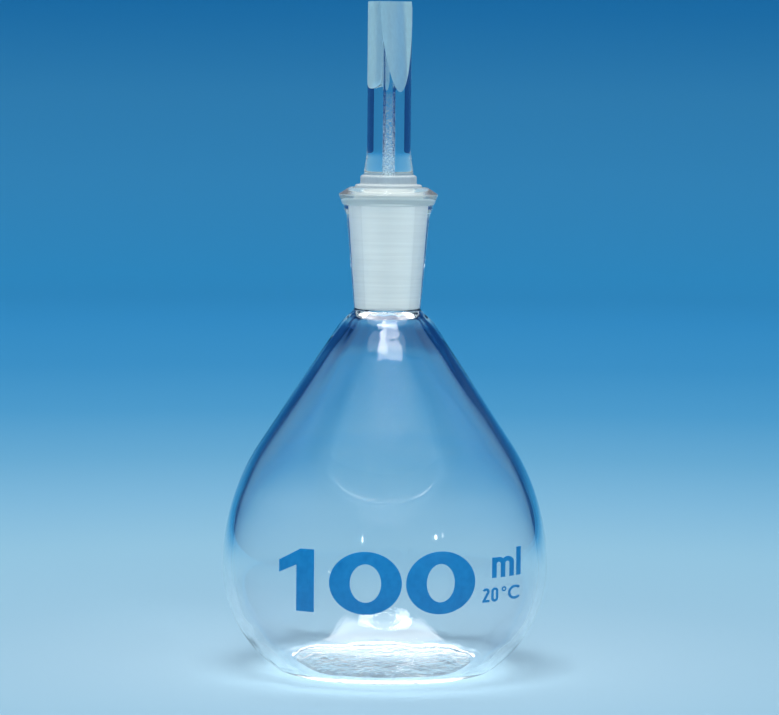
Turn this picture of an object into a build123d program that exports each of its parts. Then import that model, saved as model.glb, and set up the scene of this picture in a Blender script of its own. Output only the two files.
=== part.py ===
from build123d import *
from math import asin, cos, degrees, radians, sin, tan
import os

# A 100 ml density bottle (Gay-Lussac pycnometer): a blown pear-shaped bottle with a ground
# neck, and a ground stopper whose stem carries a fine capillary. Millimetres, +Z up, the
# origin on the table under the middle of the bottle, the printed side towards -Y.
# Outlines are half sections in r (sideways, along X) and z (up), turned about the Z axis.

# Bulb
belly_radius = 30.1        # widest radius of the bottle
belly_height = 19.4        # height of the widest ring above the table
shoulder_arc = 41.4        # outer curve from the widest ring up to the straight shoulder
shoulder_angle = 33.2      # straight shoulder, degrees from the vertical
flank_arc = 23.1           # outer curve from the widest ring down to the heel
heel_arc = 3.0             # rounding of the foot ring, outside and inside
foot_width = 0.8           # flat of the foot ring that stands on the table
punt_arc = 1.5             # rounding where the foot ring turns into the raised bottom
punt_turn = 18.0           # how far the foot ring curls back up on its inside, degrees
wall = 1.7                 # thickness of the blown glass

# Neck, with a 10/19 ground socket: wide end 10 mm across, 19 mm long, taper 1 in 10
joint_radius = 5.0         # socket radius at its wide end
joint_top = 86.2           # height of the wide end
joint_length = 19.0        # length of the cone that it is made for
joint_slope = 0.05         # radius lost per millimetre down the socket
socket_top = 87.0          # the ground surface goes on up to here, where the mouth opens out
throat_radius = 3.4        # smooth ridge between the socket and the bulb
throat_height = 66.3
throat_flare = 64.6        # where the inside of the shoulder starts to close towards the throat
throat_wall = 2.3          # the shoulder has thickened to this there
thickening_foot = 59.5     # and starts to thicken here, in a long soft curve
thickening_arc = 40.0
brow_height = 64.6         # where the outside of the shoulder steepens towards the neck
knuckle_radius = 6.15      # outside of the neck where it grows out of the shoulder
knuckle_height = 66.9
collar_radius = 7.68       # outside of the neck just under its band
collar_height = 84.3
band_radius = 8.2          # short straight band under the rim
band_foot = 85.5
band_top = 86.2
rim_foot_radius = 8.5      # underside of the flared rim
rim_foot_height = 86.35
rim_radius = 9.2           # outer edge of the rim
rim_height = 88.2
mouth_radius = 6.85        # inner and highest edge of the rim
mouth_height = 89.7
cup_radius = 6.8           # foot of the shallow cup that the stopper's head sits in
cup_height = 87.65

# Stopper
joint_clearance = 0.04     # radial gap left between the two ground faces
stopper_foot = 67.5        # height of the stopper's lower face
foot_bevel = 0.3
head_root = 87.25          # where the head starts to spread above the ground cone
head_radius = 6.55         # foot of the head, in the cup of the mouth
head_bottom = 87.85
head_top_radius = 6.1
head_top = 90.0
step_radius = 5.2          # smaller step on the head
step_top = 91.7
stem_root_radius = 4.65    # flared root of the stem
stem_root_top = 95.5
stem_radius = 4.07
stem_top = 123.6
stem_bevel = 0.2
capillary_radius = 0.8
# Flats ground on the top of the stem: bearing from -Y towards +X in degrees, height where the
# flat starts, its depth there, and its depth at the top
stem_flats = (
    (-54.0, 109.5, 0.68, 0.70),
    (30.0, 107.4, 0.05, 2.30),
    (122.0, 109.0, 0.30, 0.60),
    (213.0, 109.1, 0.66, 0.70),
)
flat_wheel = 3.0           # radius of the grinding wheel, left in each flat's lower end

# Print, fired on the front of the bulb
print_thickness = 0.12
print_depth = 8.0          # the print's outlines are carried back to this near the middle
numeral_base = 14.3        # height of the numerals' foot line
numeral_height = 11.3
one_left = -18.95
one_width = 6.35
one_stem = 3.2             # width of the upright of the 1
one_flag_start = 3.9       # where the flag of the 1 leaves its top, from the 1's left edge
one_flag_tip = 9.0         # height of the flag's tip above the foot line
one_flag_root = 8.4        # height at which the flag's underside meets the upright
zeros = ((-9.9, 13.0), (3.85, 12.4))   # left edge and width of each 0
zero_side = 3.7            # stroke of a 0 at its sides
zero_cap = 2.2             # stroke of a 0 at its top and foot
unit_left = 19.3
unit_base = 20.25
unit_height = 5.05         # height of the l
unit_x_height = 3.65       # height of the m
unit_arch = 1.6            # width of one arch of the m
unit_pen = 0.85
mark_left = 17.6
mark_base = 15.9
mark_height = 2.6
mark_width = 1.3           # width of the 2 and of the 0
mark_gap = 0.3
mark_pen = 0.45
degree_radius = 0.45       # the degree ring, outside and inside
degree_hole = 0.2
degree_pitch = 1.2         # from the left edge of the degree ring to the left edge of the C

# Centres and meeting angles of the bulb's curves: each runs smoothly into the next
shoulder_centre = (belly_radius - shoulder_arc, belly_height)
flank_centre = (belly_radius - flank_arc, belly_height)
flank_turn = degrees(asin((belly_height - heel_arc) / (flank_arc - heel_arc)))
heel_centre = (
    flank_centre[0] + (flank_arc - heel_arc) * cos(radians(flank_turn)),
    heel_arc,
)
toe_centre = (heel_centre[0] - foot_width, heel_arc)
punt_centre = (
    toe_centre[0] - (heel_arc + punt_arc) * sin(radians(punt_turn)),
    toe_centre[1] - (heel_arc + punt_arc) * cos(radians(punt_turn)),
)


def bulb_edges(inset):
    """The bulb's outline, axis to shoulder, on the surface that lies inset inside the outer one."""
    punt = CenterArc(punt_centre, punt_arc + inset, 90 - punt_turn, punt_turn)
    toe = CenterArc(toe_centre, heel_arc - inset, -90 - punt_turn, punt_turn)
    heel = CenterArc(heel_centre, heel_arc - inset, -90, 90 - flank_turn)
    flank = CenterArc(flank_centre, flank_arc - inset, -flank_turn, flank_turn)
    shoulder = CenterArc(shoulder_centre, shoulder_arc - inset, 0, shoulder_angle)
    floor = Line((0, (punt @ 1).Y), punt @ 1)
    foot = Line(toe @ 1, heel @ 0)
    return [floor, punt, toe, foot, heel, flank, shoulder]


def shoulder_point(inset, height):
    """The point of the straight shoulder at a height, on the surface that lies inset inside."""
    start = CenterArc(shoulder_centre, shoulder_arc - inset, 0, shoulder_angle) @ 1
    return (start.X - (height - start.Y) * tan(radians(shoulder_angle)), height)


def turned(outline):
    """The solid that a closed half section makes when it is turned about the Z axis."""
    return revolve(Plane.XZ * make_face(outline), Axis.Z)


def socket_radius(height):
    """Radius of the ground socket at a height."""
    return joint_radius - (joint_top - height) * joint_slope


def neck_edges():
    """The neck's outline: outside from the shoulder to the rim, and down the inside to the bulb."""
    joint_foot = joint_top - joint_length
    outer_start = bulb_edges(0)[-1] @ 1
    inner_start = bulb_edges(wall)[-1] @ 1
    return FilletPolyline(
        (outer_start.X, outer_start.Y),
        shoulder_point(0, brow_height),
        (knuckle_radius, knuckle_height),
        (collar_radius, collar_height),
        (band_radius, band_foot),
        (band_radius, band_top),
        (rim_foot_radius, rim_foot_height),
        (rim_radius, rim_height),
        (mouth_radius, mouth_height),
        (cup_radius, cup_height),
        (socket_radius(socket_top), socket_top),
        (socket_radius(joint_foot), joint_foot),
        (throat_radius, throat_height),
        shoulder_point(throat_wall, throat_flare),
        shoulder_point(wall, thickening_foot),
        (inner_start.X, inner_start.Y),
        radius=[5.0, 0.8, 0.3, 0.2, 0.05, 0.15, 0.3, 0.3, 0.4, 0.3, 0.3, 0.6, 3.0, thickening_arc],
    )


def bottle():
    """The blown bottle: one wall from the pushed-up bottom to the flared rim."""
    outer = bulb_edges(0)
    inner = bulb_edges(wall)
    axis_edge = Line(inner[0] @ 0, outer[0] @ 0)
    return turned(outer + [neck_edges()] + inner + [axis_edge])


def inside():
    """What the stoppered bottle holds, up to the top of the capillary."""
    bulb = bulb_edges(wall)
    rest = Polyline(
        bulb[-1] @ 1,
        shoulder_point(wall, thickening_foot),
        shoulder_point(throat_wall, throat_flare),
        (throat_radius, throat_height),
        (throat_radius, stopper_foot),
        (capillary_radius, stopper_foot),
        (capillary_radius, stem_top),
        (0, stem_top),
        bulb[0] @ 0,
    )
    return turned(bulb + [rest])


def stem_flat(bearing, foot, foot_depth, top_depth):
    """What grinding one flat takes off: it runs out below in the curve of the wheel."""
    lean = (top_depth - foot_depth) / (stem_top - foot)
    margin = 2 * flat_wheel
    corner = (stem_radius - foot_depth + lean * flat_wheel, foot - flat_wheel)
    above = (stem_radius - top_depth - lean * margin, stem_top + margin)
    ground = FilletPolyline(
        (corner[0] + margin, corner[1]),
        corner,
        above,
        radius=[flat_wheel],
    )
    rest = Polyline(ground @ 1, (corner[0] + margin, above[1]), ground @ 0)
    cutter = extrude(Plane.XZ * make_face([ground, rest]), 2 * stem_radius, both=True)
    return Rotation(0, 0, bearing - 90) * cutter


def stopper():
    """The ground stopper: cone, two-step head and the stem, with the capillary right through."""
    cone_foot = socket_radius(stopper_foot) - joint_clearance
    cone_top = socket_radius(head_root) - joint_clearance
    outline = FilletPolyline(
        (capillary_radius, stopper_foot),
        (cone_foot, stopper_foot),
        (cone_top, head_root),
        (head_radius, head_bottom),
        (head_top_radius, head_top),
        (step_radius, head_top),
        (step_radius, step_top),
        (stem_root_radius, step_top),
        (stem_radius, stem_root_top),
        (stem_radius, stem_top),
        (capillary_radius, stem_top),
        radius=[foot_bevel, 0.3, 0.15, 0.35, 0.35, 0.45, 0.1, 8.0, stem_bevel],
    )
    bore = Line(outline @ 1, outline @ 0)
    body = turned([outline, bore])
    for flat in stem_flats:
        body -= stem_flat(*flat)
    return body


def fired(outline):
    """A flat outline laid on the front of the bulb as a skin of enamel."""
    column = extrude(Plane.XZ * outline, 2 * belly_radius)
    column -= Box(4 * belly_radius, 2 * print_depth, 4 * belly_radius)
    top = shoulder_point(-print_thickness, brow_height)
    skin_edges = bulb_edges(-print_thickness)
    skin_close = Polyline(skin_edges[-1] @ 1, top, (0, top[1]), skin_edges[0] @ 0)
    core_edges = bulb_edges(0)
    core_top = shoulder_point(0, brow_height)
    core_close = Polyline(core_edges[-1] @ 1, core_top, (0, core_top[1]), core_edges[0] @ 0)
    skin = turned(skin_edges + [skin_close]) - turned(core_edges + [core_close])
    return column & skin


def numeral_one():
    """The 1: an upright with a flag on its left."""
    return Polygon(
        (one_width - one_stem, 0),
        (one_width, 0),
        (one_width, numeral_height),
        (one_flag_start, numeral_height),
        (0, one_flag_tip),
        (0, one_flag_tip - zero_cap),
        (one_width - one_stem, one_flag_root),
        align=None,
    )


def numeral_zero(width):
    """A 0: a wide oval ring, heavier at its sides."""
    ring = Ellipse(width / 2, numeral_height / 2)
    ring -= Ellipse(width / 2 - zero_side, numeral_height / 2 - zero_cap)
    return Pos(width / 2, numeral_height / 2) * ring


def numerals_print():
    """The capacity in large numerals."""
    one = Pos(one_left, numeral_base) * numeral_one()
    shapes = [one] + [Pos(left, numeral_base) * numeral_zero(width) for left, width in zeros]
    return Compound(children=[fired(shape) for shape in shapes])


def letter_m():
    """The m: an upright and two round arches, drawn with one pen."""
    start = unit_pen / 2
    spring = unit_x_height - unit_pen / 2 - unit_arch / 2
    shape = Pos(start, unit_x_height / 2) * Rectangle(unit_pen, unit_x_height)
    for arch in range(2):
        middle = start + (arch + 0.5) * unit_arch
        curve = CenterArc((middle, spring), unit_arch / 2, 0, 180)
        leg = Line((middle + unit_arch / 2, spring), (middle + unit_arch / 2, 0))
        shape += trace([curve], unit_pen)
        shape += trace([leg], unit_pen)
    return shape


def unit_print():
    """The unit, ml."""
    bar_left = 2 * unit_arch + 1.5 * unit_pen
    bar = Pos(bar_left + unit_pen / 2, unit_height / 2) * Rectangle(unit_pen, unit_height)
    place = Pos(unit_left, unit_base)
    return Compound(children=[fired(place * letter_m()), fired(place * bar)])


def mark_shapes():
    """The strokes of the calibration temperature, 20 degrees C."""
    half = mark_pen / 2
    radius = mark_width / 2 - half
    bow = CenterArc((half + radius, mark_height - half - radius), radius, -35, 195)
    two = trace([bow], mark_pen)
    two += trace([Line(bow @ 0, (half, half))], mark_pen)
    two += trace([Line((0, half), (mark_width, half))], mark_pen)
    zero = SlotOverall(mark_height, mark_width, rotation=90)
    zero -= SlotOverall(mark_height - 2 * mark_pen, mark_width - 2 * mark_pen, rotation=90)
    zero = Pos(mark_width / 2, mark_height / 2) * zero
    ring = Circle(degree_radius) - Circle(degree_hole)
    ring = Pos(degree_radius, mark_height - degree_radius) * ring
    c_radius = mark_height / 2 - half
    letter_c = trace([CenterArc((c_radius + half, c_radius + half), c_radius, 45, 270)], mark_pen)
    step = mark_width + mark_gap
    ring_left = 2 * step + mark_gap
    c_left = ring_left + degree_pitch
    return [two, Pos(step) * zero, Pos(ring_left) * ring, Pos(c_left) * letter_c]


def temperature_print():
    """The calibration temperature in small letters."""
    place = Pos(mark_left, mark_base)
    return Compound(children=[fired(place * shape) for shape in mark_shapes()])


nodes = {
    "bottle": bottle(),
    "stopper": stopper(),
    "numerals_print": numerals_print(),
    "unit_print": unit_print(),
    "temperature_print": temperature_print(),
}

os.makedirs("parts", exist_ok=True)
for name, shape in nodes.items():
    export_step(shape, f"parts/{name}.step")
print("holds", round(inside().volume / 1000, 1), "ml")
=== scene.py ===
import math

import bmesh
import bpy
from mathutils import Matrix, Quaternion, Vector, noise


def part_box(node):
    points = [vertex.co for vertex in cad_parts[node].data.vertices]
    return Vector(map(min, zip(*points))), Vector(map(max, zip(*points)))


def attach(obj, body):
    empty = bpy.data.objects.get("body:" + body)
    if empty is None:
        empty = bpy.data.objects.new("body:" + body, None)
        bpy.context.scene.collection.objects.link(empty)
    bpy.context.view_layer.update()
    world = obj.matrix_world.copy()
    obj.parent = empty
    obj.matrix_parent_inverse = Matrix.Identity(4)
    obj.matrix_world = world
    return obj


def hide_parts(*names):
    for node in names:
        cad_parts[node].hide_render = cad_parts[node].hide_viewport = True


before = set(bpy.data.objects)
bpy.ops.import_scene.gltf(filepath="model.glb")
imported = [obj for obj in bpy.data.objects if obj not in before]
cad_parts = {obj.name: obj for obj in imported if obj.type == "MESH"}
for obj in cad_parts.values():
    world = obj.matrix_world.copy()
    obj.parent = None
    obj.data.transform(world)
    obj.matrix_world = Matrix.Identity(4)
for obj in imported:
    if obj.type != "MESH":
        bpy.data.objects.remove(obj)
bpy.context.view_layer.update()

# A 100 ml density bottle: blown glass bottle, ground capillary stopper, fired blue print.
# Shapes are worked out in millimetres, in the frame's axes, and turned to metres by MM.
MM = 0.001

bottle_low, bottle_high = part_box("bottle")
stopper_low, stopper_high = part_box("stopper")

# ---- Bottle, millimetres: outlines are half sections in r and z ---------------------------
BELLY_RADIUS = bottle_high[0] / MM
BELLY_HEIGHT = 19.4        # height of the widest ring
SHOULDER_ARC = 41.4        # outer curve from the widest ring up to the straight shoulder
SHOULDER_ANGLE = 33.2      # straight shoulder, degrees from the vertical
FLANK_ARC = 23.1           # outer curve from the widest ring down to the heel
HEEL_ARC = 3.0             # rounding of the foot ring, outside and inside
FOOT_WIDTH = 0.8           # flat of the foot ring
PUNT_ARC = 1.5             # rounding where the foot ring turns into the raised bottom
PUNT_TURN = 18.0           # how far the foot ring curls back up on its inside, degrees
WALL = 1.7                 # thickness of the blown glass
JOINT_RADIUS = 5.0         # ground socket's radius at its wide end
JOINT_TOP = 86.2
JOINT_FOOT = 67.2
JOINT_SLOPE = 0.05         # radius lost per millimetre down the socket
SOCKET_TOP = 87.0          # where the mouth opens out above the socket
THROAT_RADIUS = 3.4        # smooth ridge between the socket and the bulb
THROAT_HEIGHT = 66.3
THROAT_FLARE = 64.6        # where the inside of the shoulder starts to close to the throat
THROAT_WALL = 2.3          # the shoulder has thickened to this there
THICKENING_FOOT = 59.5     # and starts to thicken here, in a long soft curve
THICKENING_ARC = 40.0
BROW_HEIGHT = 64.6         # where the outside of the shoulder steepens towards the neck
KNUCKLE = (6.15, 66.9)     # outside of the neck where it grows out of the shoulder
COLLAR = (7.68, 84.3)      # outside of the neck just under its band
BAND_RADIUS = 8.2          # short straight band under the rim
BAND_FOOT = 85.5
BAND_TOP = 86.2
RIM_FOOT = (8.5, 86.35)    # underside of the flared rim
RIM_EDGE = (9.2, 88.2)     # outer edge of the rim
MOUTH = (6.85, 89.7)       # inner and highest edge of the rim
CUP_RADIUS = 6.8           # foot of the shallow cup that the stopper's head sits in
CUP_HEIGHT = 87.65

# ---- Stopper, millimetres -----------------------------------------------------------------
STOPPER_FOOT = stopper_low[2] / MM
FOOT_BEVEL = 0.3
JOINT_CLEARANCE = 0.04     # gap between the two ground faces
HEAD_ROOT = 87.25          # where the head starts to spread above the ground cone
HEAD_RADIUS = 6.55         # foot of the head, in the cup of the mouth
HEAD_BOTTOM = 87.85
HEAD_TOP_RADIUS = 6.1
HEAD_TOP = 90.0
STEP_RADIUS = 5.2          # smaller step on the head
STEP_TOP = 91.7
STEM_ROOT_RADIUS = 4.65    # flared root of the stem
STEM_ROOT_TOP = 95.5
STEM_RADIUS = 4.07
STEM_TOP = stopper_high[2] / MM
STEM_BEVEL = 0.2
CAPILLARY_RADIUS = 0.8
STEM_FLATS = (             # bearing, height where it starts, its depth there, depth at the top
    (-54.0, 109.5, 0.68, 0.70),
    (30.0, 107.4, 0.05, 2.30),
    (122.0, 109.0, 0.30, 0.60),
    (213.0, 109.1, 0.66, 0.70),
)
FLAT_WHEEL = 3.0           # radius of the grinding wheel, left in each flat's lower end

# ---- Where each finish lies, millimetres --------------------------------------------------
NEAR = 0.1                 # a face is on a surface when its middle is this near to it
GROUND_FOOT = THROAT_HEIGHT + 0.5   # the bottle is ground from here, up the socket
GROUND_TOP = 88.0          # and into the cup of the mouth as far as here
BLOOM_FOOT = 87.6          # the rim above here has a slight bloom
PRESSED_TOP = 3.0          # the mottled bottom lies below here
STEM_END = STEM_TOP - 0.12 # the stem's end is ground above here
FROSTED_BORE = (87.2, 107.0)  # the bore is frosted at the lower height and clear at the upper

# ---- Small unevenness of the blown glass, millimetres -------------------------------------
# A pair says where a change begins and where it is whole.
WALL_WAVE = 0.12           # slow change of the wall's thickness
WALL_WAVE_TURN = 1.7       # how fast it changes round the bottle
WALL_WAVE_RISE = 19.0      # and up it
WALL_WAVE_FOOT = (5.0, 10.0)
WALL_WAVE_TOP = (THROAT_HEIGHT - 1, 58.0)
FOLD_DEPTH = 0.06          # folds inside the shoulder
FOLDS = ((7, 0.4), (11, 2.1), (17, 4.0))   # how many go round, and the angle they start from
FOLD_FOOT = (38.0, 60.0)
FOLD_TOP = (THROAT_HEIGHT, THROAT_HEIGHT - 1.5)
HEEL_WAVE = 0.07           # ripple inside the lowest part of the bulb
HEEL_WAVE_SCALE = 0.22
HEEL_WAVE_STRETCH = 1.5    # the ripple is this many times shorter upwards
HEEL_WAVE_TOP = (16.0, 10.0)
HEEL_WAVE_REACH = 3.0      # it sets in over this distance outwards from the raised bottom
PUNT_WAVE = 0.10           # mottle of the raised bottom
PUNT_WAVE_TOP = 6.0        # no point above here is in the bottom
PUNT_WAVE_SIDE = (0.5, -2.0)   # distances outwards from the raised bottom's edge
PUNT_WAVE_SCALES = ((0.3, 1.0), (0.9, 0.5))   # scale and share of the coarse and fine mottle
PUNT_WAVE_OUTER = 2.0      # the two faces are cut through the noise at different heights
PUNT_WAVE_INNER = 9.0
PRINT_BED = 0.03           # the glass stands this much into the print, which is fused to it
PRINT_BED_SIDES = (84.0, 66.0)  # degrees from the front
PRINT_BED_FOOT = (6.0, 10.0)
PRINT_BED_TOP = (36.0, 31.0)

# ---- How finely the glass is drawn --------------------------------------------------------
SIDES = 208                # faces round each turned piece
LONGEST = 0.75             # longest face up an outline
BOTTOM_LONGEST = 0.4       # the same in the mottled bottom
BOTTOM_MARGIN = 1.0        # and this far outside it
ARC_STEP = 4.0             # degrees of arc to a face
CORNER_STEP = 12.0         # the same in the rounding of a corner
SAME_POINT = 1e-4          # two points nearer than this are one, millimetres
SHARP_EDGE = 25.0          # edges of the stopper that turn more than this stay sharp, degrees

# ---- Glass and card -----------------------------------------------------------------------
GLASS_IOR = 1.473          # borosilicate glass
CLEAR_TINT = (0.985, 0.995, 1.0)
PRESSED_TINT = (0.99, 0.97, 0.93)
GROUND_TINT = (0.94, 0.96, 0.92)
# the flats' pale ground-glass colour with painted light: the blue of the backdrop seen through them
FLATS_TINT_AND_BACKDROP_BLUE = (0.62, 0.83, 0.85)
HEAD_TINT = (0.6, 0.65, 0.66)
RIM_TINT = (0.97, 0.97, 0.9)
BORE_TINT = (0.8, 0.9, 0.93)
CLEAR_WAVES = (90, 0.00001)      # waves of the surface: scale per metre, and height in metres
PRESSED_WAVES = (700, 0.0002)
RING_GRAIN = (60, 60, 2600)      # scale per metre along each axis: rings round the joint
EVEN_GRAIN = (2500, 2500, 900)
GRAIN_HEIGHT = 0.00006     # metres
GRAIN_SHADE = 0.9          # the darkest grain's colour, as a share of the tint
POLISH_SPREAD = 0.08       # how far the ground glass's roughness varies either way
SPECK_SHARES = (0.66, 0.3) # noise under this is frosted, at the bore's frosted and clear heights
SPECK_EDGE = 0.2           # how softly a speck fades out, in the noise's own units
ENAMEL_COLOURS = (         # place in the mottle's noise, and the enamel's colour there
    (0.25, (0.011, 0.31, 0.69)),
    (0.8, (0.024, 0.42, 0.82)),
)
ENAMEL_GRAIN_HEIGHT = 0.00003   # metres
MATT = 0.9                 # roughness of card

# ---- Studio, metres -----------------------------------------------------------------------
SWEEP_FLOOR = -0.0001      # the card lies just under the foot ring
SWEEP_FLAT = 1.1           # radius of its flat part
SWEEP_CURVE = 0.7          # radius of the curve up into its wall
SWEEP_CURVE_STEPS = 30
SWEEP_TOP = 2.2
SWEEP_LENGTH = 4.0
SWEEP_COLOURS_AND_SHADE = (          # metres along the sweep, and the card's colour there: its own blue, with painted shade that deepens it to navy along and up the wall
    (0.0, (0.44, 0.64, 0.75)),
    (0.1, (0.34, 0.58, 0.71)),
    (0.18, (0.32, 0.59, 0.73)),
    (0.27, (0.245, 0.535, 0.72)),
    (0.38, (0.16, 0.465, 0.69)),
    (0.52, (0.094, 0.41, 0.69)),
    (0.7, (0.065, 0.395, 0.72)),
    (0.95, (0.059, 0.445, 0.83)),
    (1.2, (0.06, 0.495, 0.89)),
    (1.4, (0.073, 0.48, 0.84)),
    (1.54, (0.067, 0.44, 0.78)),
    (1.67, (0.028, 0.335, 0.69)),
    (2.1, (0.02, 0.16, 0.42)),
    (4.0, (0.015, 0.08, 0.25)),
)
ROOM_COLOUR = (0.03, 0.07, 0.13, 1)
LIGHTS_AIM = (0, 0, 0.05)  # what every lamp faces
# Name, bearing, degrees up, distance, size, watts, and whether the light shines on through the
# glass with no shadow
LIGHTS = (
    ("overhead", 180, 79, 1.4, (1.25, 1.25), 3.0, False),
    ("overhead_fill", 180, 79, 1.4, (1.25, 1.25), 8.0, True),
    ("key", 0, 74, 1.41, (0.72, 0.4), 7.0, False),
    ("key_core", -22, 76, 1.4, (0.5, 0.28), 3.6, False),
    ("left_strip", -16, 16.5, 1.2, (0.008, 0.05), 0.12, True),
    ("right_strip", 37, 16.5, 1.2, (0.015, 0.04), 0.4, True),
)
FILLS = (                  # weak lights on the ground glass alone: bearing, degrees up, watts
    (-80, 15, 3.3),
    (80, 15, 3.3),
    (0, 20, 2.2),
)
FILL_DISTANCE = 1.0
FILL_SIZE = (0.6, 0.6)
FILL_COLOUR = (0.8, 0.92, 0.97)
# painted shade: the flags' navy stands in for the unlit sides of the studio
FLAG_SHADE_COLOUR = (0.015, 0.12, 0.32, 1)
FLAG_ASIDE = 0.7           # dark sheets of painted shade beside the view, which show only in the glass
FLAG_REACH = (0.3, 1.85)   # from this far in front of the camera to this far
FLAG_HEIGHT = (-0.11, 0.6) # from below the lens to above it
CAMERA_DISTANCE = 0.70
CAMERA_RISE = 4.5          # degrees
CAMERA_ROLL = 0.56         # degrees
CAMERA_AIM = 0.058         # height that it looks at
CAMERA_ASIDE = 0.0005      # and how far to the right
FRAME_WIDTH = 0.1441       # what the picture spans at the object
SENSOR_WIDTH = 36          # millimetres
BOUNCES = 24               # enough for light to get through every wall of the glass
GLOSSY_BOUNCES = 8
BRIGHTEST = 12             # indirect light is held to this, which keeps speckle down

# ---- Centres and meeting angles of the bulb's curves: each runs smoothly into the next ----
SHOULDER_CENTRE = (BELLY_RADIUS - SHOULDER_ARC, BELLY_HEIGHT)
FLANK_CENTRE = (BELLY_RADIUS - FLANK_ARC, BELLY_HEIGHT)
FLANK_TURN = math.degrees(math.asin((BELLY_HEIGHT - HEEL_ARC) / (FLANK_ARC - HEEL_ARC)))
HEEL_CENTRE = (
    FLANK_CENTRE[0] + (FLANK_ARC - HEEL_ARC) * math.cos(math.radians(FLANK_TURN)),
    HEEL_ARC,
)
TOE_CENTRE = (HEEL_CENTRE[0] - FOOT_WIDTH, HEEL_ARC)
PUNT_CENTRE = (
    TOE_CENTRE[0] - (HEEL_ARC + PUNT_ARC) * math.sin(math.radians(PUNT_TURN)),
    TOE_CENTRE[1] - (HEEL_ARC + PUNT_ARC) * math.cos(math.radians(PUNT_TURN)),
)


# ---- Outlines -----------------------------------------------------------------------------
def arc(centre, radius, start, end):
    """Points (r, z) along a circle between two angles in degrees."""
    turn = abs(end - start)
    steps = max(2, math.ceil(turn / ARC_STEP), math.ceil(math.radians(turn) * radius / LONGEST))
    points = []
    for i in range(steps + 1):
        angle = math.radians(start + (end - start) * i / steps)
        points.append((centre[0] + radius * math.cos(angle), centre[1] + radius * math.sin(angle)))
    return points


def rounded(points, radii):
    """A run of straight lines with an arc of the given radius at each corner between them."""
    result = [points[0]]
    for before, corner, after, radius in zip(points, points[1:], points[2:], radii):
        corner = Vector(corner)
        back = (Vector(before) - corner).normalized()
        on = (Vector(after) - corner).normalized()
        half = back.angle(on) / 2
        start = corner + back * radius / math.tan(half)
        centre = corner + (back + on).normalized() * radius / math.sin(half)
        sweep = math.pi - 2 * half
        side = 1 if back.cross(on) < 0 else -1
        arm = start - centre
        steps = max(3, math.ceil(math.degrees(sweep) / CORNER_STEP))
        for i in range(steps + 1):
            turn = side * sweep * i / steps
            spun_r = arm.x * math.cos(turn) - arm.y * math.sin(turn)
            spun_z = arm.x * math.sin(turn) + arm.y * math.cos(turn)
            result.append((centre.x + spun_r, centre.y + spun_z))
    result.append(points[-1])
    return result


def divided(points):
    """The same outline in short stretches, shorter in the mottled bottom, with no doubled point."""
    result = [points[0]]
    for end in points[1:]:
        start = result[-1]
        length = math.dist(start, end)
        if length < SAME_POINT:
            continue
        low_down = max(start[1], end[1]) < PRESSED_TOP
        in_bottom = low_down and max(start[0], end[0]) < PUNT_CENTRE[0] + BOTTOM_MARGIN
        steps = max(1, math.ceil(length / (BOTTOM_LONGEST if in_bottom else LONGEST)))
        for i in range(1, steps + 1):
            share = i / steps
            result.append(
                (start[0] + (end[0] - start[0]) * share, start[1] + (end[1] - start[1]) * share)
            )
    return result


def bulb_outline(inset):
    """The bulb from the axis to the top of the shoulder's curve, inset inside its outer face."""
    punt = arc(PUNT_CENTRE, PUNT_ARC + inset, 90, 90 - PUNT_TURN)
    toe = arc(TOE_CENTRE, HEEL_ARC - inset, -90 - PUNT_TURN, -90)
    heel = arc(HEEL_CENTRE, HEEL_ARC - inset, -90, -FLANK_TURN)
    flank = arc(FLANK_CENTRE, FLANK_ARC - inset, -FLANK_TURN, 0)
    shoulder = arc(SHOULDER_CENTRE, SHOULDER_ARC - inset, 0, SHOULDER_ANGLE)
    return [(0.0, punt[0][1])] + punt + toe + heel + flank + shoulder


def shoulder_point(inset, height):
    """The straight shoulder's point at a height, inset inside its outer face."""
    start = bulb_outline(inset)[-1]
    return (start[0] - (height - start[1]) * math.tan(math.radians(SHOULDER_ANGLE)), height)


def socket_radius(height):
    """Radius of the ground socket at a height."""
    return JOINT_RADIUS - (JOINT_TOP - height) * JOINT_SLOPE


def neck_outline():
    """The neck: up its outside, over the rim and down through the socket into the bulb."""
    return rounded(
        [
            bulb_outline(0)[-1],
            shoulder_point(0, BROW_HEIGHT),
            KNUCKLE,
            COLLAR,
            (BAND_RADIUS, BAND_FOOT),
            (BAND_RADIUS, BAND_TOP),
            RIM_FOOT,
            RIM_EDGE,
            MOUTH,
            (CUP_RADIUS, CUP_HEIGHT),
            (socket_radius(SOCKET_TOP), SOCKET_TOP),
            (socket_radius(JOINT_FOOT), JOINT_FOOT),
            (THROAT_RADIUS, THROAT_HEIGHT),
            shoulder_point(THROAT_WALL, THROAT_FLARE),
            shoulder_point(WALL, THICKENING_FOOT),
            bulb_outline(WALL)[-1],
        ],
        [5.0, 0.8, 0.3, 0.2, 0.05, 0.15, 0.3, 0.3, 0.4, 0.3, 0.3, 0.6, 3.0, THICKENING_ARC],
    )


def stopper_outline():
    """The stopper from the foot of its capillary, up its outside, and down the bore again, with
    a point in the bore wherever its frosting begins or ends."""
    outside = rounded(
        [
            (CAPILLARY_RADIUS, STOPPER_FOOT),
            (socket_radius(STOPPER_FOOT) - JOINT_CLEARANCE, STOPPER_FOOT),
            (socket_radius(HEAD_ROOT) - JOINT_CLEARANCE, HEAD_ROOT),
            (HEAD_RADIUS, HEAD_BOTTOM),
            (HEAD_TOP_RADIUS, HEAD_TOP),
            (STEP_RADIUS, HEAD_TOP),
            (STEP_RADIUS, STEP_TOP),
            (STEM_ROOT_RADIUS, STEP_TOP),
            (STEM_RADIUS, STEM_ROOT_TOP),
            (STEM_RADIUS, STEM_TOP),
            (CAPILLARY_RADIUS, STEM_TOP),
        ],
        [FOOT_BEVEL, 0.3, 0.15, 0.35, 0.35, 0.45, 0.1, 8.0, STEM_BEVEL],
    )
    return outside + [(CAPILLARY_RADIUS, height) for height in reversed(FROSTED_BORE)]


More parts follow.
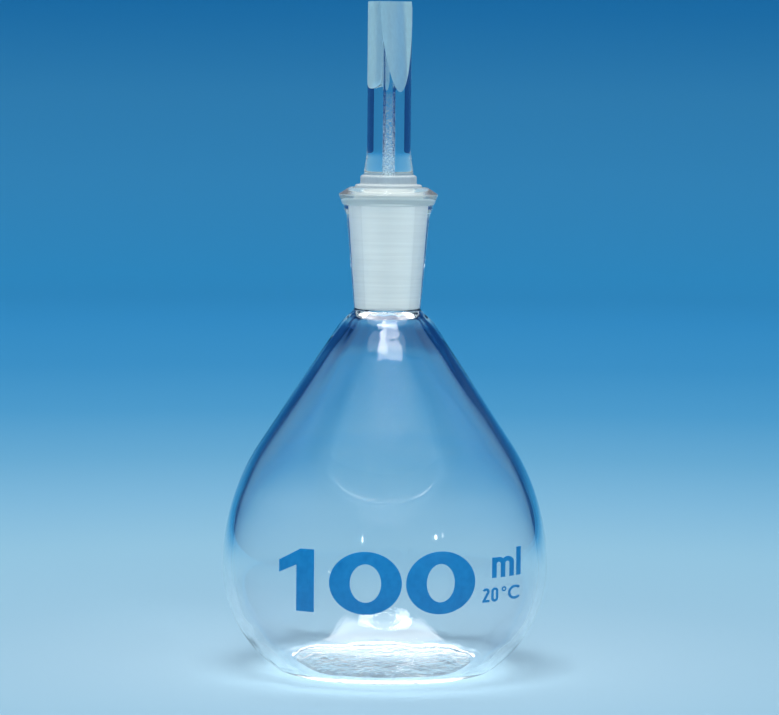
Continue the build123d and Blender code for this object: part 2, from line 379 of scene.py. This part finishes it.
# ---- Meshes -------------------------------------------------------------------------------
def turned(outline, shift=None):
    """A closed mesh turned about Z. An outline off the axis at both ends closes on itself.
    shift(ring, r, angle, z) may give each point another place."""
    bm = bmesh.new()
    rings = []
    for number, (r, z) in enumerate(outline):
        ring = []
        for i in range(1 if r < SAME_POINT else SIDES):
            angle = 2 * math.pi * i / SIDES
            spot = (r * math.cos(angle), r * math.sin(angle), z)
            if shift is not None:
                spot = shift(number, r, angle, z)
            ring.append(bm.verts.new([c * MM for c in spot]))
        rings.append(ring)
    pairs = list(zip(rings, rings[1:]))
    if len(rings[0]) > 1 and len(rings[-1]) > 1:
        pairs.append((rings[-1], rings[0]))
    for low, high in pairs:
        for i in range(SIDES):
            j = (i + 1) % SIDES
            if len(low) == 1:
                corners = (low[0], high[j], high[i])
            elif len(high) == 1:
                corners = (low[i], low[j], high[0])
            else:
                corners = (low[i], low[j], high[j], high[i])
            bm.faces.new(corners).smooth = True
    bmesh.ops.recalc_face_normals(bm, faces=bm.faces[:])
    return bm


def as_object(name, bm, materials):
    """The mesh as an object in the scene, with its materials in slot order."""
    mesh = bpy.data.meshes.new(name)
    bm.to_mesh(mesh)
    bm.free()
    piece = bpy.data.objects.new(name, mesh)
    for material in materials:
        mesh.materials.append(material)
    bpy.context.scene.collection.objects.link(piece)
    return piece


def fade(value, start, end):
    """0 before start, 1 past end, smooth between them. start may be the larger one."""
    share = min(1.0, max(0.0, (value - start) / (end - start)))
    return share * share * (3 - 2 * share)


def uneven(inner, r, angle, z):
    """A point of the bottle, with the small unevenness of blown glass."""
    x, y = math.cos(angle), math.sin(angle)
    bottom_edge = PUNT_CENTRE[0]
    if inner:
        spot = Vector((WALL_WAVE_TURN * x, WALL_WAVE_TURN * y, z / WALL_WAVE_RISE))
        folds = sum(math.sin(count * angle + start) for count, start in FOLDS) / len(FOLDS)
        near_throat = fade(z, *FOLD_FOOT) * fade(z, *FOLD_TOP)
        r += WALL_WAVE * noise.noise(spot) * fade(z, *WALL_WAVE_FOOT) * fade(z, *WALL_WAVE_TOP)
        r += FOLD_DEPTH * folds * near_throat
        spot = Vector((r * x, r * y, HEEL_WAVE_STRETCH * z)) * HEEL_WAVE_SCALE
        outside_bottom = fade(r, bottom_edge, bottom_edge + HEEL_WAVE_REACH)
        r += HEEL_WAVE * noise.noise(spot) * fade(z, *HEEL_WAVE_TOP) * outside_bottom
    else:
        from_front = abs(math.degrees(math.atan2(x, -y)))
        at_print = fade(z, *PRINT_BED_FOOT) * fade(z, *PRINT_BED_TOP)
        r += PRINT_BED * fade(from_front, *PRINT_BED_SIDES) * at_print
    if z < PUNT_WAVE_TOP:
        start, whole = PUNT_WAVE_SIDE
        in_bottom = fade(r, bottom_edge + start, bottom_edge + whole)
        spot = Vector((r * x, r * y, PUNT_WAVE_INNER if inner else PUNT_WAVE_OUTER))
        mottle = sum(share * noise.noise(spot * scale) for scale, share in PUNT_WAVE_SCALES)
        z += in_bottom * PUNT_WAVE * mottle
    return (r * x, r * y, z)


def finish_faces(bm, finish_at, finishes):
    """Give each face the slot of the finish at its middle's distance from Z and height."""
    order = list(finishes)
    for face in bm.faces:
        middle = face.calc_center_median() / MM
        finish = finish_at(math.hypot(middle.x, middle.y), middle.z)
        face.material_index = order.index(finish)


def bottle_finish(away, height):
    """The bottle's finish at a distance from Z and a height."""
    in_socket = away < socket_radius(height) + NEAR and height > GROUND_FOOT
    in_cup = away < CUP_RADIUS + NEAR and height > SOCKET_TOP - NEAR
    if (in_socket or in_cup) and height < GROUND_TOP:
        return "ground"
    if height < PRESSED_TOP and away < PUNT_CENTRE[0]:
        return "pressed"
    if height > BLOOM_FOOT and away > CUP_RADIUS + NEAR:
        return "bloom"
    return "clear"


def make_bottle(finishes):
    """The bottle as one closed wall, ground inside the neck and mottled in the bottom."""
    outside = bulb_outline(0)[:-1] + neck_outline()
    outline = divided(outside + bulb_outline(WALL)[-2::-1])
    rim = max(range(len(outline)), key=lambda ring: outline[ring][1])
    bm = turned(outline, lambda ring, r, angle, z: uneven(ring > rim, r, angle, z))
    finish_faces(bm, bottle_finish, finishes)
    return as_object("bottle_glass", bm, finishes.values())


def flat_cutter(flats, bearing, foot, foot_depth, top_depth):
    """What grinding one flat takes off: it runs out below in the curve of the wheel."""
    lean = (top_depth - foot_depth) / (STEM_TOP - foot)
    margin = 2 * FLAT_WHEEL
    corner = (STEM_RADIUS - foot_depth + lean * FLAT_WHEEL, foot - FLAT_WHEEL)
    above = (STEM_RADIUS - top_depth - lean * margin, STEM_TOP + margin)
    outer = corner[0] + margin
    ground = rounded([(outer, corner[1]), corner, above], [FLAT_WHEEL])
    bm = bmesh.new()
    sides = []
    for across in (-2 * STEM_RADIUS, 2 * STEM_RADIUS):
        edge = [bm.verts.new((r * MM, across * MM, z * MM)) for r, z in ground + [(outer, above[1])]]
        bm.faces.new(edge)
        sides.append(edge)
    for i in range(len(sides[0])):
        j = (i + 1) % len(sides[0])
        bm.faces.new((sides[0][i], sides[0][j], sides[1][j], sides[1][i]))
    bmesh.ops.recalc_face_normals(bm, faces=bm.faces[:])
    bmesh.ops.rotate(bm, verts=bm.verts[:], matrix=Matrix.Rotation(math.radians(bearing - 90), 3, "Z"))
    return as_object("flat_cutter", bm, [flats])


def stopper_finish(away, height):
    """The stopper's finish at a distance from Z and a height, before its flats are ground."""
    if away < CAPILLARY_RADIUS + NEAR:
        return "bore" if FROSTED_BORE[0] < height < FROSTED_BORE[1] else "clear"
    if height < HEAD_ROOT - NEAR:
        return "cone"
    if height > STEM_END:
        return "flats"
    if height < STEP_TOP + NEAR:
        return "head"
    return "clear"


def make_stopper(finishes):
    """The stopper: ground cone, satin head, clear stem, specked bore, ground flats and end."""
    bm = turned(divided(stopper_outline()))
    finish_faces(bm, stopper_finish, finishes)
    blank = as_object("blank", bm, finishes.values())
    cutters = [flat_cutter(finishes["flats"], *flat) for flat in STEM_FLATS]
    for cutter in cutters:
        cut = blank.modifiers.new("flat", "BOOLEAN")
        cut.operation = "DIFFERENCE"
        cut.solver = "EXACT"
        cut.material_mode = "TRANSFER"
        cut.object = cutter
    mesh = bpy.data.meshes.new_from_object(blank.evaluated_get(bpy.context.evaluated_depsgraph_get()))
    for scrap in cutters + [blank]:
        bpy.data.objects.remove(scrap)
    bm = bmesh.new()
    bm.from_mesh(mesh)
    bmesh.ops.dissolve_degenerate(bm, dist=SAME_POINT * MM, edges=bm.edges[:])
    for face in bm.faces:
        face.smooth = True
    piece = as_object("stopper_glass", bm, list(mesh.materials))
    piece.data.set_sharp_from_angle(angle=math.radians(SHARP_EDGE))
    return piece


# ---- Materials ----------------------------------------------------------------------------
def new_material(name):
    """An empty node material: the material, its nodes, its links and its output node."""
    material = bpy.data.materials.new(name)
    material.use_nodes = True
    tree = material.node_tree
    tree.nodes.clear()
    return material, tree.nodes, tree.links, tree.nodes.new("ShaderNodeOutputMaterial")


def add(nodes, kind, inputs):
    """A new shader node of a kind, with the values of its inputs."""
    node = nodes.new("ShaderNode" + kind)
    for socket, value in inputs.items():
        node.inputs[socket].default_value = value
    return node


def colour_ramp(nodes, stops):
    """A new colour ramp through (place, colour) stops, in order."""
    node = nodes.new("ShaderNodeValToRGB")
    first, last = node.color_ramp.elements
    first.position, last.position = stops[0][0], stops[-1][0]
    first.color, last.color = (*stops[0][1], 1), (*stops[-1][1], 1)
    for place, colour in stops[1:-1]:
        node.color_ramp.elements.new(place).color = (*colour, 1)
    return node


def clear_glass(name, tint, surface_waves):
    """Clear borosilicate glass with a slightly wavy surface."""
    material, nodes, links, output = new_material(name)
    scale, depth = surface_waves
    glass = add(nodes, "BsdfPrincipled", {
        "Base Color": (*tint, 1),
        "Transmission Weight": 1,
        "Roughness": 0,
        "IOR": GLASS_IOR,
    })
    where = nodes.new("ShaderNodeTexCoord")
    waves = add(nodes, "TexNoise", {"Scale": scale, "Detail": 2})
    bump = add(nodes, "Bump", {"Strength": 1, "Distance": depth})
    links.new(where.outputs["Object"], waves.inputs["Vector"])
    links.new(waves.outputs["Fac"], bump.inputs["Height"])
    links.new(bump.outputs["Normal"], glass.inputs["Normal"])
    links.new(glass.outputs[0], output.inputs["Surface"])
    return material


def ground_glass(name, tint, grain_scale, see_through, roughness):
    """Finely ground glass: a white bloom over rough glass, with the rings or grain of grinding."""
    material, nodes, links, output = new_material(name)
    glass = add(nodes, "BsdfPrincipled", {
        "Transmission Weight": see_through,
        "Specular IOR Level": 0,
        "IOR": GLASS_IOR,
    })
    where = nodes.new("ShaderNodeTexCoord")
    stretch = add(nodes, "Mapping", {"Scale": grain_scale})
    grain = add(nodes, "TexNoise", {"Scale": 1, "Detail": 4})
    blotch = add(nodes, "TexNoise", {"Scale": 260, "Detail": 2})
    shade = [GRAIN_SHADE * part for part in tint]
    colours = colour_ramp(nodes, ((0.3, shade), (0.7, tint)))
    polish = add(nodes, "MapRange", {
        "To Min": roughness - POLISH_SPREAD,
        "To Max": roughness + POLISH_SPREAD,
    })
    bump = add(nodes, "Bump", {"Strength": 0.35, "Distance": GRAIN_HEIGHT})
    links.new(where.outputs["Object"], stretch.inputs["Vector"])
    links.new(stretch.outputs["Vector"], grain.inputs["Vector"])
    links.new(where.outputs["Object"], blotch.inputs["Vector"])
    links.new(grain.outputs["Fac"], colours.inputs["Fac"])
    links.new(colours.outputs["Color"], glass.inputs["Base Color"])
    links.new(blotch.outputs["Fac"], polish.inputs["Value"])
    links.new(polish.outputs["Result"], glass.inputs["Roughness"])
    links.new(grain.outputs["Fac"], bump.inputs["Height"])
    links.new(bump.outputs["Normal"], glass.inputs["Normal"])
    links.new(glass.outputs[0], output.inputs["Surface"])
    return material


def specked_bore(name):
    """The capillary's wall: clear above, with more and more frosted specks towards the head."""
    material, nodes, links, output = new_material(name)
    glass = add(nodes, "BsdfPrincipled", {"Base Color": (*BORE_TINT, 1), "IOR": GLASS_IOR})
    where = nodes.new("ShaderNodeTexCoord")
    split = nodes.new("ShaderNodeSeparateXYZ")
    share = add(nodes, "MapRange", {
        "From Min": FROSTED_BORE[0] * MM,
        "From Max": FROSTED_BORE[1] * MM,
        "To Min": SPECK_SHARES[0],
        "To Max": SPECK_SHARES[1],
    })
    specks = add(nodes, "TexNoise", {"Scale": 3600, "Detail": 3})
    excess = nodes.new("ShaderNodeMath")
    excess.operation = "SUBTRACT"
    edge = {"From Min": -SPECK_EDGE, "From Max": SPECK_EDGE}
    clearness = add(nodes, "MapRange", {**edge, "To Min": 0.45, "To Max": 1.0})
    frost = add(nodes, "MapRange", {**edge, "To Min": 0.4, "To Max": 0.0})
    links.new(where.outputs["Object"], split.inputs[0])
    links.new(where.outputs["Object"], specks.inputs["Vector"])
    links.new(split.outputs["Z"], share.inputs["Value"])
    links.new(specks.outputs["Fac"], excess.inputs[0])
    links.new(share.outputs["Result"], excess.inputs[1])
    links.new(excess.outputs[0], clearness.inputs["Value"])
    links.new(excess.outputs[0], frost.inputs["Value"])
    links.new(clearness.outputs["Result"], glass.inputs["Transmission Weight"])
    links.new(frost.outputs["Result"], glass.inputs["Roughness"])
    links.new(glass.outputs[0], output.inputs["Surface"])
    return material


def blue_enamel():
    """Fired enamel: strong blue, with a slight grain and small thin spots in the colour."""
    material, nodes, links, output = new_material("blue_enamel")
    paint = add(nodes, "BsdfPrincipled", {"Specular IOR Level": 0.5})
    where = nodes.new("ShaderNodeTexCoord")
    mottle = add(nodes, "TexNoise", {"Scale": 700, "Detail": 5})
    colours = colour_ramp(nodes, ENAMEL_COLOURS)
    polish = add(nodes, "MapRange", {"To Min": 0.28, "To Max": 0.5})
    bump = add(nodes, "Bump", {"Strength": 0.2, "Distance": ENAMEL_GRAIN_HEIGHT})
    links.new(where.outputs["Object"], mottle.inputs["Vector"])
    links.new(mottle.outputs["Fac"], colours.inputs["Fac"])
    links.new(mottle.outputs["Fac"], polish.inputs["Value"])
    links.new(mottle.outputs["Fac"], bump.inputs["Height"])
    links.new(colours.outputs["Color"], paint.inputs["Base Color"])
    links.new(polish.outputs["Result"], paint.inputs["Roughness"])
    links.new(bump.outputs["Normal"], paint.inputs["Normal"])
    links.new(paint.outputs[0], output.inputs["Surface"])
    return material


# ---- Studio -------------------------------------------------------------------------------
def sweep_material():
    """Matt card: its own blue, pale round the object, with painted shade that deepens it the farther
    along the sweep it is.
    """
    material, nodes, links, output = new_material("sweep_card_and_painted_shade")
    card = add(nodes, "BsdfPrincipled", {"Roughness": MATT, "Specular IOR Level": 0.1})
    where = nodes.new("ShaderNodeTexCoord")
    split = nodes.new("ShaderNodeSeparateXYZ")
    flat = nodes.new("ShaderNodeCombineXYZ")
    away = nodes.new("ShaderNodeVectorMath")
    away.operation = "LENGTH"
    along = nodes.new("ShaderNodeMath")
    along.operation = "ADD"
    share = add(nodes, "MapRange", {"From Max": SWEEP_LENGTH})
    # the ramp holds the card's own blue and the painted shade along the sweep
    stops = [(place / SWEEP_LENGTH, colour) for place, colour in SWEEP_COLOURS_AND_SHADE]
    colours = colour_ramp(nodes, stops)
    links.new(where.outputs["Object"], split.inputs[0])
    links.new(split.outputs["X"], flat.inputs["X"])
    links.new(split.outputs["Y"], flat.inputs["Y"])
    links.new(flat.outputs[0], away.inputs[0])
    links.new(away.outputs["Value"], along.inputs[0])
    links.new(split.outputs["Z"], along.inputs[1])
    links.new(along.outputs[0], share.inputs["Value"])
    links.new(share.outputs["Result"], colours.inputs["Fac"])
    links.new(colours.outputs["Color"], card.inputs["Base Color"])
    links.new(card.outputs[0], output.inputs["Surface"])
    return material


def make_sweep():
    """A round sweep: a flat floor that curves up into a wall all round the object."""
    flat, curve = SWEEP_FLAT / MM, SWEEP_CURVE / MM
    outline = [(0.0, SWEEP_FLOOR / MM)]
    for i in range(SWEEP_CURVE_STEPS + 1):
        turn = math.radians(90 * i / SWEEP_CURVE_STEPS)
        along = flat + curve * math.sin(turn)
        outline.append((along, SWEEP_FLOOR / MM + curve * (1 - math.cos(turn))))
    outline.append((flat + curve, SWEEP_TOP / MM))
    as_object("sweep", turned(outline), [sweep_material()])


def soft_box(name, place, size, power):
    """A rectangular soft light at a place, facing the object."""
    light = bpy.data.lights.new(name, "AREA")
    light.shape = "RECTANGLE"
    light.size, light.size_y = size
    light.energy = power
    lamp = bpy.data.objects.new(name, light)
    lamp.location = place
    lamp.rotation_euler = (Vector(LIGHTS_AIM) - Vector(place)).to_track_quat("-Z", "Y").to_euler()
    lamp.visible_camera = False
    bpy.context.scene.collection.objects.link(lamp)
    return lamp


def polar(bearing, height_angle, distance):
    """A place round the object: bearing in degrees from -Y towards +X, and degrees up."""
    around, up = math.radians(bearing), math.radians(height_angle)
    return (
        distance * math.cos(up) * math.sin(around),
        -distance * math.cos(up) * math.cos(around),
        distance * math.sin(up),
    )


def make_lights(glass):
    """Soft lights overhead, two small strips in front, weak fills for the ground glass, and a
    dim blue room."""
    passed = bpy.data.collections.new("glass_lets_pass")
    for piece in glass:
        passed.objects.link(piece)
    for member in passed.collection_objects:
        member.light_linking.link_state = "EXCLUDE"
    for name, bearing, height_angle, distance, size, power, passes in LIGHTS:
        lamp = soft_box(name, polar(bearing, height_angle, distance), size, power)
        if passes:
            lamp.light_linking.blocker_collection = passed
    lit = bpy.data.collections.new("fills_light_this")
    for piece in glass:
        lit.objects.link(piece)
    for bearing, height_angle, power in FILLS:
        lamp = soft_box("fill", polar(bearing, height_angle, FILL_DISTANCE), FILL_SIZE, power)
        lamp.data.color = FILL_COLOUR
        lamp.visible_glossy = False
        lamp.visible_transmission = False
        lamp.light_linking.receiver_collection = lit
        lamp.light_linking.blocker_collection = passed
    world = bpy.data.worlds.new("room")
    bpy.context.scene.world = world
    world.use_nodes = True
    room = world.node_tree.nodes["Background"]
    room.inputs["Color"].default_value = ROOM_COLOUR
    room.inputs["Strength"].default_value = 1


def make_camera():
    """A long lens a little above the object, looking slightly down."""
    lens = bpy.data.cameras.new("camera")
    lens.sensor_width = SENSOR_WIDTH
    lens.lens = SENSOR_WIDTH * CAMERA_DISTANCE / FRAME_WIDTH
    lens.clip_start = 0.01
    camera = bpy.data.objects.new("camera", lens)
    up = math.radians(CAMERA_RISE)
    aim = Vector((CAMERA_ASIDE, 0, CAMERA_AIM))
    camera.location = aim + CAMERA_DISTANCE * Vector((0, -math.cos(up), math.sin(up)))
    facing = (aim - camera.location).to_track_quat("-Z", "Y")
    roll = Quaternion((0, 0, 1), math.radians(CAMERA_ROLL))
    camera.rotation_euler = (facing @ roll).to_euler()
    bpy.context.scene.collection.objects.link(camera)
    bpy.context.scene.camera = camera
    return camera


def make_flags(camera):
    """Two dark cards on arms from the camera stand: painted shade that gives the glass its dark edges.
    """
    material, nodes, links, output = new_material("painted_shade_flag")
    card = add(nodes, "BsdfPrincipled", {"Base Color": FLAG_SHADE_COLOUR, "Roughness": MATT})
    links.new(card.outputs[0], output.inputs["Surface"])
    near, far = FLAG_REACH
    low, high = FLAG_HEIGHT
    for side in (-1, 1):
        bm = bmesh.new()
        corners = ((near, low), (far, low), (far, high), (near, high))
        bm.faces.new([bm.verts.new((side * FLAG_ASIDE, up, -ahead)) for ahead, up in corners])
        flag = as_object("flag", bm, [material])
        flag.parent = camera
        flag.visible_camera = False
        flag.visible_diffuse = False
        flag.visible_shadow = False


# ---- The object ---------------------------------------------------------------------------
bottle = make_bottle({
    "clear": clear_glass("bottle_glass", CLEAR_TINT, CLEAR_WAVES),
    "ground": ground_glass("ground_socket", GROUND_TINT, RING_GRAIN, see_through=0.15, roughness=0.45),
    "pressed": clear_glass("pressed_bottom", PRESSED_TINT, PRESSED_WAVES),
    "bloom": ground_glass("rim_glass", RIM_TINT, EVEN_GRAIN, see_through=0.85, roughness=0.18),
})
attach(bottle, "bottle")
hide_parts("bottle")

stopper = make_stopper({
    "clear": clear_glass("stopper_glass", CLEAR_TINT, CLEAR_WAVES),
    "cone": ground_glass("ground_cone", GROUND_TINT, RING_GRAIN, see_through=0.45, roughness=0.5),
    # the flats' tint holds painted blue light of the backdrop over their own pale colour
    "flats": ground_glass("ground_flats", FLATS_TINT_AND_BACKDROP_BLUE, EVEN_GRAIN, see_through=0.65, roughness=0.45),
    "head": ground_glass("satin_head", HEAD_TINT, EVEN_GRAIN, see_through=0.4, roughness=0.35),
    "bore": specked_bore("specked_bore"),
})
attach(stopper, "stopper")
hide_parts("stopper")

enamel = blue_enamel()
for node in ("numerals_print", "unit_print", "temperature_print"):
    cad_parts[node].data.materials.clear()
    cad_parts[node].data.materials.append(enamel)

make_sweep()
make_lights([bottle, stopper])
make_flags(make_camera())

scene = bpy.context.scene
scene.view_settings.view_transform = "Standard"
scene.cycles.use_denoising = True
scene.cycles.max_bounces = BOUNCES
scene.cycles.transmission_bounces = BOUNCES
scene.cycles.transparent_max_bounces = BOUNCES
scene.cycles.glossy_bounces = GLOSSY_BOUNCES
scene.cycles.sample_clamp_indirect = BRIGHTEST
